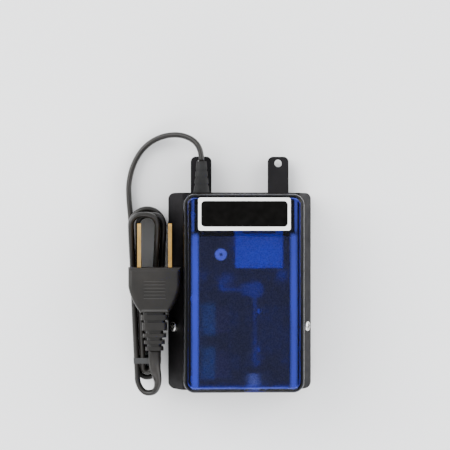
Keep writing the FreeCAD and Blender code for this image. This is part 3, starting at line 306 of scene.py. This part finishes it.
def hank_turns():
    """Control points of the hank. A turn goes down the left, round the foot, up the right, over the top."""
    points = []
    reach = 1 / math.cos(math.pi / ARC_STEPS / 2)
    final = len(SLOTS) - 1
    for turn, (layer, (top_r, low_r)) in enumerate(SLOTS):
        z = LAYERS[layer]
        for part in run_parts(top_r, low_r):
            up = (HUMP_Z - z) * (1 - eased(part, RUN_DROP)) if turn == final else 0.0
            points.append((HANK_X - mix(top_r, low_r, part), mix(HANK_TOP_Y, HANK_LOW_Y, part), z + up))
        if turn == final:
            points.pop()
            break
        for step in range(ARC_STEPS):
            a = math.pi + math.pi * (step + 0.5) / ARC_STEPS
            r = low_r * reach
            points.append((HANK_X + r * math.cos(a), HANK_LOW_Y + r * math.sin(a), z))
        over = turn == final - 1
        next_z = LAYERS[SLOTS[turn + 1][0]]
        next_r = SLOTS[turn + 1][1][0]
        early = CLIMBS[turn][0] < 0
        for part in reversed(run_parts(top_r, low_r)):
            near_top = 1 - eased(part, RUN_DROP)
            up = near_top * ((HUMP_Z - z) if over else (next_z - z) if early else 0.0)
            points.append((HANK_X + mix(top_r, low_r, part), mix(HANK_TOP_Y, HANK_LOW_Y, part), z + up))
        for step in range(ARC_STEPS):
            along = (step + 0.5) / ARC_STEPS
            a = math.pi * along
            r = mix(top_r, next_r, eased(along, SHIFTS[turn])) * reach
            up = HUMP_Z if over else next_z if early else mix(z, next_z, eased(along, CLIMBS[turn]))
            points.append((HANK_X + r * math.cos(a), HANK_TOP_Y + r * math.sin(a), up))
    return points


CORD_ROUTE = LEAD_ROUTE + hank_turns() + TAIL_ROUTE
# Length of the last stretch over which the cord turns flat, in metres.
TWIST_LENGTH = 0.022
# The groove between the two wires: its depth as a part of the wire's radius, and its spread up and down.
GROOVE_DEPTH = 0.22
GROOVE_SPREAD = 0.22
# Under 1 this fills out the round sides of the section.
SECTION_POWER = 0.75


def route_line(name, route, resolution):
    """Points along a smooth curve that has the route as its control points."""
    curve = bpy.data.curves.new(name, "CURVE")
    curve.dimensions = "3D"
    curve.resolution_u = resolution
    spline = curve.splines.new("NURBS")
    spline.points.add(len(route) - 1)
    for point, place in zip(spline.points, route):
        point.co = (*at(*place), 1.0)
    spline.order_u = 3
    spline.use_endpoint_u = True
    carrier = bpy.data.objects.new(name, curve)
    mesh = bpy.data.meshes.new_from_object(carrier)
    line = [v.co.copy() for v in mesh.vertices]
    bpy.data.objects.remove(carrier)
    bpy.data.meshes.remove(mesh)
    return line


def twin_section(count=20):
    """Outline of a flat twin cord: two round wires side by side with a shallow groove between."""
    outline = []
    r = CORD_W / 2 * MM
    for step in range(count):
        a = 2 * math.pi * step / count
        across, up = math.cos(a), math.sin(a)
        waist = 1 - GROOVE_DEPTH * math.exp(-((up / GROOVE_SPREAD) ** 2))
        outline.append((r * waist * math.copysign(abs(across) ** SECTION_POWER, across), 2 * r * up))
    return outline


def sweep(name, line, section, twist):
    """Mesh tube with the section kept upright along the line, turned by twist."""
    walked = [0.0]
    for a, b in zip(line, line[1:]):
        walked.append(walked[-1] + (b - a).length)
    rings = []
    made = bmesh.new()
    for i, place in enumerate(line):
        ahead = (line[min(i + 1, len(line) - 1)] - line[max(i - 1, 0)]).normalized()
        side = ahead.cross(Vector((0, 0, 1))).normalized()
        rise = side.cross(ahead)
        turn = Matrix.Rotation(twist(walked[i], walked[-1]), 3, ahead)
        side, rise = turn @ side, turn @ rise
        rings.append([made.verts.new(place + side * u + rise * v) for u, v in section])
    for low, high in zip(rings, rings[1:]):
        for j in range(len(section)):
            k = (j + 1) % len(section)
            made.faces.new((low[j], low[k], high[k], high[j]))
    made.faces.new(list(reversed(rings[0])))
    made.faces.new(rings[-1])
    bmesh.ops.recalc_face_normals(made, faces=made.faces)
    return finished(name, made), walked[-1]


def quarter_turn(walked, whole):
    """The cord stands on edge, and turns flat over its last stretch so that it enters the plug flat."""
    return math.pi / 2 * eased(1 - (whole - walked) / TWIST_LENGTH, (0.0, 1.0))


cord_vinyl = grained(
    "cord_vinyl", (0.007, 0.0063, 0.0055), (0.015, 0.013, 0.011), (0.30, 0.46), grain=1500, depth=0.00003,
    Specular_IOR_Level=0.3,
)
cord_line = route_line("cord_route", CORD_ROUTE, 8)
cord, CORD_LENGTH = sweep("mains_cord", cord_line, twin_section(), quarter_turn)
paint(cord, cord_vinyl)
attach(cord, "root")
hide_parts("cord_lead", "cord_tail", "cord_hank")
print("cord length", round(CORD_LENGTH, 4))

# ---------------------------------------------------------------- floor and light
FLOOR_HALF = 2.0
FLOOR_GAP = 0.0002

floor_shader = Shader("floor", (0.92, 0.92, 0.92), 0.7, Specular_IOR_Level=0.2)
floor_grey = floor_shader.ramp(floor_shader.noise(6), (0.90, 0.90, 0.90), (0.93, 0.93, 0.93))
floor_shader.link(floor_grey, "Base Color")
ground = bmesh.new()
bmesh.ops.create_grid(ground, x_segments=1, y_segments=1, size=FLOOR_HALF)
floor = finished("floor", ground, smooth=False)
floor.location.z = -FLOOR_GAP
paint(floor, floor_shader.material)

world = bpy.data.worlds.new("studio")
world.use_nodes = True
world.node_tree.nodes["Background"].inputs["Color"].default_value = (0.95, 0.97, 1.0, 1.0)
world.node_tree.nodes["Background"].inputs["Strength"].default_value = 1.45
bpy.context.scene.world = world

LAMP_SIZE = 1.4


def soft_light(name, place, power):
    """Large square lamp that points at the origin."""
    data = bpy.data.lights.new(name, "AREA")
    data.size = LAMP_SIZE
    data.energy = power
    lamp = bpy.data.objects.new(name, data)
    lamp.location = place
    lamp.rotation_euler = (-Vector(place)).to_track_quat("-Z", "Y").to_euler()
    bpy.context.scene.collection.objects.link(lamp)


soft_light("key", (-1.1, 0.7, 1.0), 40.0)
soft_light("fill", (1.5, 0.6, 0.65), 34.0)
soft_light("back", (0.1, -1.3, 0.8), 24.0)

# ---------------------------------------------------------------- materials of the CAD nodes
case_black = grained(
    "case_black", (0.006, 0.0055, 0.006), (0.012, 0.011, 0.012), (0.45, 0.62), grain=3200, depth=0.00006,
    Specular_IOR_Level=0.10,
)
rubber = grained(
    "rubber", (0.007, 0.007, 0.007), (0.015, 0.015, 0.015), (0.6, 0.85), grain=1800, Specular_IOR_Level=0.25
)
nylon = grained("nylon", (0.72, 0.72, 0.69), (0.86, 0.86, 0.83), (0.35, 0.5), grain=900, depth=0.00002)
chassis_grey = grained(
    "chassis_grey", (0.012, 0.012, 0.014), (0.024, 0.024, 0.027), (0.45, 0.6), Specular_IOR_Level=0.3
)
nickel = grained(
    "nickel", (0.52, 0.51, 0.49), (0.80, 0.79, 0.76), (0.16, 0.34), 1.0, grain=1200, depth=0.00001
)
steel = grained("steel", (0.26, 0.26, 0.26), (0.44, 0.44, 0.43), (0.25, 0.45), 1.0, stretch=(1, 12, 1))
laminated = grained(
    "laminated", (0.05, 0.048, 0.046), (0.11, 0.105, 0.10), (0.4, 0.65), 0.8, 1400, 0.0001, (0.05, 0.05, 3)
)
ferrite = grained("ferrite", (0.018, 0.018, 0.019), (0.05, 0.05, 0.052), (0.5, 0.75), grain=2200)
copper = grained(
    "copper", (0.30, 0.09, 0.03), (0.56, 0.20, 0.08), (0.22, 0.4), 1.0, grain=2600, depth=0.0001,
    stretch=(1, 0.04, 0.04),
)
tape = grained("tape", (0.22, 0.72, 0.12), (0.32, 0.86, 0.18), (0.2, 0.4), grain=800, depth=0.00002)
felt = grained(
    "felt", (0.48, 0.47, 0.45), (0.68, 0.67, 0.64), (0.9, 1.0), grain=3000, depth=0.0003, Sheen_Weight=0.4
)
wire_black = grained("wire_black", (0.012, 0.012, 0.012), (0.03, 0.03, 0.03), (0.35, 0.5))
brass = grained(
    "brass", (0.34, 0.18, 0.045), (0.72, 0.46, 0.14), (0.16, 0.34), 1.0, grain=1500, depth=0.00001,
    stretch=(1, 0.1, 1),
)

COVER_TINT = (0.060, 0.085, 0.44)
COVER_FROST = (0.125, 0.155, 0.60)
# Painted shade: near-black navy that darkens the cover's rim where its walls turn away.
COVER_RIM_SHADE = (0.002, 0.003, 0.08)
# Painted glow: bright blue that stands in for light carried along the side walls and out at the roof's edges.
COVER_PAINTED_GLOW = (0.026, 0.036, 0.40)
COVER_IOR = 1.2
CLEAR_ROUGHNESS = 0.12
PANEL_ROUGHNESS = 0.5
CLEAR_GLOSS = 0.4
MATT_GLOSS = 0.02
# How much less light passes where the plastic is frosted, and where the blue is painted brighter as a glow of
# light carried along the walls.
PANEL_STOPS = 0.02
PAINTED_GLOW_STOPS = 0.68
# Spans on the cover, in millimetres: a middle, a half width and a blur, in X and then in Y. The glow strips,
# painted brighter blue as light carried in the walls, lie on both sides, so their X is counted outwards.
ROOF_FROM_Z = 38.2
PANEL = ((0.0, 18.4, 0.3), (-7.6, 30.75, 0.3))
GLOW_STRIP = ((19.95, 1.2, 1.3), (-7.2, 31.0, 2.0))
LABEL_GLOW_STRIP = ((20.8, 0.55, 0.5), (31.5, 6.6, 1.5))
LABEL_GLOW_STRIP_PART = 0.55
# Spans of the painted shade that darkens the rim round the cover's sides and ends.
RIM_SHADE_X = (26.0, 4.3, 0.5)
RIM_SHADE_Y = (43.0, 4.2, 0.4)
RIM_SHADE_Z = (43.0, 6.0, 2.0)
BOSS_AT = (-9.5, 15.8)
# A ring of painted highlight round the boss: its radius, half width and blur, and how strongly it is painted.
BOSS_GLOW_RING = (1.5, 0.8, 0.7)
BOSS_GLOW_PART = 0.75
PEBBLES_PER_M = 1900
FROST_PER_M = 1500
WAVE_PART = 0.12

LABEL_WHITE = (0.88, 0.88, 0.87)
LABEL_FACE_Z = 40.2
LABEL_PANEL_Y = 32.2
LABEL_PANEL_HALF = (17.5, 5.2)
LABEL_PANEL_CORNER = 1.6


def blue_cover():
    """Deep blue see-through styrene: a pebbled roof panel, strips beside it painted brighter blue as a glow
    of carried light, a painted glow ring round a boss, and painted shade that darkens the rim.
    """
    made = Shader("cover_blue", COVER_TINT, CLEAR_ROUGHNESS, IOR=COVER_IOR)
    x, y, z = made.axes()
    out = made.maths("ABSOLUTE", x)
    roof = made.maths("GREATER_THAN", z, ROOF_FROM_Z * MM)
    panel = made.product(made.patch(x, y, PANEL), roof)

    # Painted glow strips along both long edges of the roof, and a weaker one beside the label.
    glow_strips = made.largest(
        made.patch(out, y, GLOW_STRIP), made.product(made.patch(out, y, LABEL_GLOW_STRIP), LABEL_GLOW_STRIP_PART)
    )
    uneven_glow = made.spread(made.noise(90, 4.0, (1, 0.3, 1)), 0.5, 1.0)
    off_x = made.maths("SUBTRACT", x, BOSS_AT[0] * MM)
    off_y = made.maths("SUBTRACT", y, (BOSS_AT[1] + SHIFT_Y) * MM)
    from_boss = made.maths("SQRT", made.maths("ADD", made.product(off_x, off_x), made.product(off_y, off_y)))
    # Painted highlight: a brighter blue ring round the boss under the roof.
    boss_glow = made.product(made.within(from_boss, BOSS_GLOW_RING), BOSS_GLOW_PART)
    painted_glow = made.largest(made.product(glow_strips, roof, uneven_glow), boss_glow)

    # Painted shade on the rim: the band round the sides and ends, below the roof.
    rim_shade_ends = made.within(made.away(y, SHIFT_Y * MM), RIM_SHADE_Y)
    rim_shade = made.product(made.largest(made.within(out, RIM_SHADE_X), rim_shade_ends), made.within(z, RIM_SHADE_Z))

    frost = made.ramp(made.cells(FROST_PER_M), COVER_TINT, COVER_FROST, 0.25, 0.75)
    # Painted shade darkens the rim's colour here.
    colour = made.tint(panel, made.tint(rim_shade, COVER_TINT, COVER_RIM_SHADE), frost)
    # The painted glow brightens the blue and lowers the transmission here.
    made.link(made.tint(painted_glow, colour, COVER_PAINTED_GLOW), "Base Color")
    made.link(made.number(panel, CLEAR_ROUGHNESS, PANEL_ROUGHNESS), "Roughness")
    passes = made.maths("SUBTRACT", 1.0, made.product(panel, PANEL_STOPS))
    made.link(made.maths("SUBTRACT", passes, made.product(painted_glow, PAINTED_GLOW_STOPS)), "Transmission Weight")
    made.link(made.number(made.largest(panel, rim_shade, painted_glow), CLEAR_GLOSS, MATT_GLOSS), "Specular IOR Level")
    pebble = made.product(made.cells(PEBBLES_PER_M), panel)
    wave = made.product(made.noise(160, 2.0), WAVE_PART)
    made.bump(made.maths("ADD", pebble, wave), 0.6, 0.00012)
    return made.material


def printed_label():
    """White laminate with a plain black rounded panel."""
    made = Shader("label_print", LABEL_WHITE, 0.28, Specular_IOR_Level=0.03)
    x, y, z = made.axes()
    half_x, half_y = LABEL_PANEL_HALF
    off = made.rounded(
        x, y, (LABEL_PANEL_Y + SHIFT_Y) * MM, half_x * MM, half_y * MM, LABEL_PANEL_CORNER * MM
    )
    panel = made.maths("LESS_THAN", off, 0.0)
    face = made.maths("GREATER_THAN", z, LABEL_FACE_Z * MM)
    paper = made.ramp(made.noise(120, 4.0), (0.78, 0.78, 0.77), LABEL_WHITE)
    ink = made.ramp(made.noise(300, 4.0), (0.0015, 0.0014, 0.0012), (0.0035, 0.0032, 0.003))
    made.link(made.tint(made.product(panel, face), paper, ink), "Base Color")
    made.link(made.spread(made.noise(240), 0.2, 0.36), "Roughness")
    made.bump(made.noise(500, 3.0), 0.3, 0.00002)
    return made.material


cover_blue = blue_cover()
label_print = printed_label()

for shade, names in (
    (cover_blue, "top_cover"),
    (label_print, "roof_label"),
    (case_black, "base_skirt bottom_plate intake_cap"),
    (rubber, "rubber_foot_1 rubber_foot_2 rubber_foot_3 rubber_foot_4 suspension_bushes diaphragm"),
    (rubber, "pivot_bush inlet_flap outlet_flap outlet_elbow cord_strain_relief"),
    (nickel, "case_screw shoulder_screws chassis_screws core_screws bracket_screw chamber_screws"),
    (nickel, "clamp_screws diaphragm_screw"),
    (felt, "intake_felt silencer_felt"),
    (chassis_grey, "inner_chassis cord_clamp"),
    (laminated, "core_laminations"),
    (nylon, "silencer_box silencer_lid outlet_nipple"),
    (chassis_grey, "diaphragm_clamp_disc magnet_holder coil_bobbin_front coil_bobbin_rear diaphragm_button"),
    (chassis_grey, "diaphragm_ring pump_chamber valve_plate flap_clips valve_manifold"),
    (copper, "coil_winding_front coil_winding_rear"),
    (tape, "coil_tape_front coil_tape_rear"),
    (steel, "pivot_bracket pivot_pin swing_arm"),
    (ferrite, "magnets"),
    (wire_black, "coil_leads hank_tie"),
    (cord_vinyl, "cord_inside plug_body plug_relief"),
    (brass, "plug_blades"),
):
    for name in names.split():
        paint(name, shade)

# ---------------------------------------------------------------- diaphragm
# The axis in Y and Z, and the X of the two faces of the hub and of the rim.
CHAMBER_AT = (-15.0, 26.0)
HUB_FACES = (6.62, 7.78)
RIM_FACES = (8.32, 8.98)
# Radius and X of the section, once round: along the hub's outer face, out over the skin, round the rim, back.
DIAPHRAGM_SECTION = [
    (1.05, HUB_FACES[0]), (3.9, HUB_FACES[0]), (4.15, 6.85), (4.6, 7.3), (5.4, 7.75), (6.1, 8.05),
    (6.6, RIM_FACES[0]), (8.42, RIM_FACES[0]), (8.5, 8.4), (8.5, 8.9), (8.42, RIM_FACES[1]),
    (6.75, RIM_FACES[1]), (6.5, 8.86), (6.0, 8.5), (5.3, 8.15), (4.6, 7.85), (4.1, HUB_FACES[1]),
    (1.05, HUB_FACES[1]),
]


def turned(name, section, centre, count=64):
    """Ring-shaped mesh: a closed section of radius and X, turned round an axis along X."""
    made = bmesh.new()
    rings = []
    for step in range(count):
        a = 2 * math.pi * step / count
        rings.append([
            made.verts.new(at(x, centre[0] + r * math.cos(a), centre[1] + r * math.sin(a)))
            for r, x in section
        ])
    for i, ring in enumerate(rings):
        after = rings[(i + 1) % count]
        for j in range(len(section)):
            k = (j + 1) % len(section)
            made.faces.new((ring[j], ring[k], after[k], after[j]))
    bmesh.ops.recalc_face_normals(made, faces=made.faces)
    return finished(name, made)


rubber_skin = turned("rubber_skin", DIAPHRAGM_SECTION, CHAMBER_AT)
paint(rubber_skin, rubber)
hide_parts("diaphragm")
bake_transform(rubber_skin)
